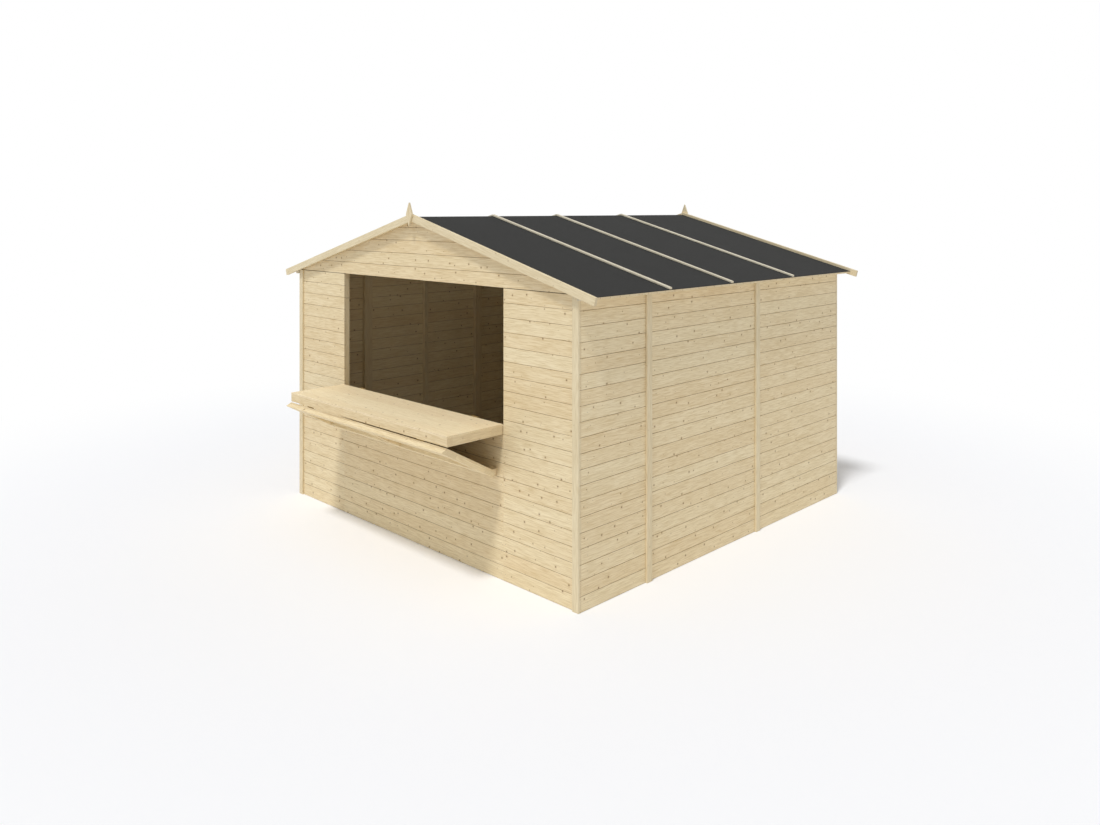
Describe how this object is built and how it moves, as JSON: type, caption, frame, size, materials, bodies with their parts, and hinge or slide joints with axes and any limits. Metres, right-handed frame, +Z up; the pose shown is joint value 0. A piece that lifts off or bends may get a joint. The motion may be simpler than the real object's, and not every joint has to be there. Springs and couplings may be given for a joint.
{
  "type": "market stall",
  "caption": "Timber apex-roof market stall with a serving hatch, a fold-up counter over a folding prop, clad walls, a felted roof, barge boards and finials.",
  "frame": {"origin": "on the ground, under the middle of the stall's bounding box", "axes": "+Z up, the serving side faces -Y, +X to the right seen from the customer's side"},
  "size_m": [3.37, 3.5438, 2.3141],
  "materials": {
    "wall_timber": "planed untreated softwood boarding",
    "trim_timber": "planed untreated softwood strip",
    "roof_timber": "sawn untreated softwood",
    "counter_timber": "planed untreated softwood boarding",
    "prop_timber": "planed untreated softwood",
    "roofing_felt": "mineral-faced bitumen felt",
    "zinc_hinge": "zinc plated"
  },
  "bodies": {
    "stall": {"eave_strip_left": "roof_timber", "eave_strip_right": "roof_timber", "front_barge_board_left": "trim_timber", "front_barge_board_right": "trim_timber", "front_corner_trim_left": "trim_timber", "front_corner_trim_right": "trim_timber", "front_finial": "trim_timber", "front_gable": "wall_timber", "front_wall_below_hatch": "wall_timber", "front_wall_left": "wall_timber", "front_wall_right": "wall_timber", "left_cover_strip_front": "trim_timber", "left_cover_strip_rear": "trim_timber", "left_wall": "wall_timber", "prop_ledger": "prop_timber", "purlin_left": "roof_timber", "purlin_right": "roof_timber", "rear_barge_board_left": "trim_timber", "rear_barge_board_right": "trim_timber", "rear_corner_trim_left": "trim_timber", "rear_corner_trim_right": "trim_timber", "rear_cover_strip": "trim_timber", "rear_finial": "trim_timber", "rear_gable": "wall_timber", "rear_wall": "wall_timber", "ridge_beam": "roof_timber", "right_cover_strip_front": "trim_timber", "right_cover_strip_rear": "trim_timber", "right_wall": "wall_timber", "roof_batten_1": "trim_timber", "roof_batten_2": "trim_timber", "roof_batten_3": "trim_timber", "roof_boards_left": "roof_timber", "roof_boards_right": "roof_timber", "roof_felt": "roofing_felt", "sill_hinge_left": "zinc_hinge", "sill_hinge_right": "zinc_hinge"},
    "counter": {"counter": "counter_timber", "counter_hinge_left": "zinc_hinge", "counter_hinge_right": "zinc_hinge", "prop_hinge_upper_left": "zinc_hinge", "prop_hinge_upper_right": "zinc_hinge"},
    "prop": {"prop": "prop_timber", "prop_hinge_lower_left": "zinc_hinge", "prop_hinge_lower_right": "zinc_hinge"}
  },
  "joints": [
    {"name": "counter_fold", "type": "hinge", "parent": "stall", "child": "counter", "pos_m": [0, -1.29595, 0.9603], "axis": [-1, 0, 0], "range_deg": [0, 90]},
    {"name": "prop_fold", "type": "hinge", "parent": "counter", "child": "prop", "pos_m": [0, -1.72865, 0.8907], "axis": [1, 0, 0], "range_deg": [0, 29]}
  ]
}
